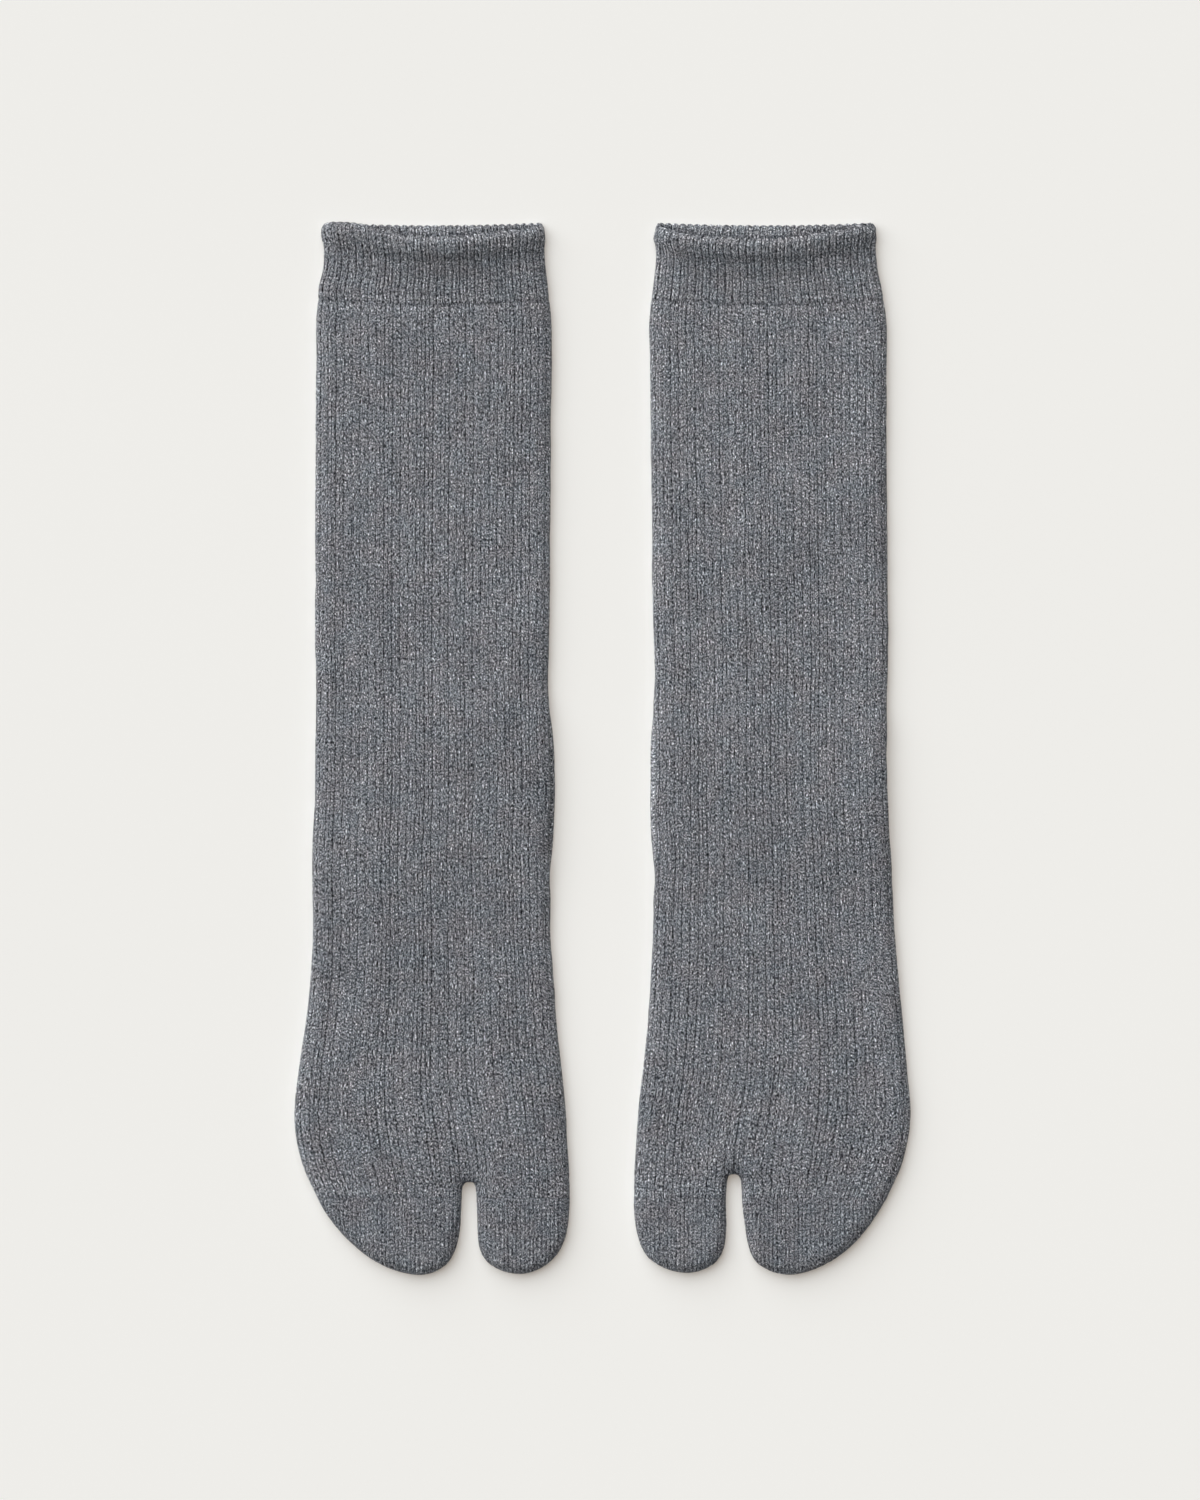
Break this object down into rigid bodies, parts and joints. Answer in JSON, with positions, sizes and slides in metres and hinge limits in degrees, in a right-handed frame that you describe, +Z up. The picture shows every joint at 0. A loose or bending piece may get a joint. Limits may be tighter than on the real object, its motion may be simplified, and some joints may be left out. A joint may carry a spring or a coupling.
{
  "type": "pair of tabi socks",
  "caption": "Pair of ribbed knit split-toe crew socks laid flat, insteps up, with open rolled cuffs and a separate big-toe pocket on each.",
  "frame": {"origin": "on the surface that the socks lie on, below the middle of the pair", "axes": "+Z up from the surface, +Y from the toes to the cuffs, +X from the right-foot sock to the left-foot sock"},
  "size_m": [0.2344, 0.3998, 0.0114],
  "materials": {
    "ribbed_knit": "matt grey marled wool-blend yarn in a close vertical rib, with light and dark flecks and a faint nap",
    "plain_knit": "the same matt grey marled yarn in fine plain stockinette, a little darker than the rib"
  },
  "bodies": {
    "root": {"right_foot_cuff": "ribbed_knit", "right_foot_leg_and_foot": "ribbed_knit", "right_foot_four_toe_pocket": "plain_knit", "right_foot_big_toe_pocket": "plain_knit", "left_foot_cuff": "ribbed_knit", "left_foot_leg_and_foot": "ribbed_knit", "left_foot_four_toe_pocket": "plain_knit", "left_foot_big_toe_pocket": "plain_knit"}
  },
  "joints": []
}
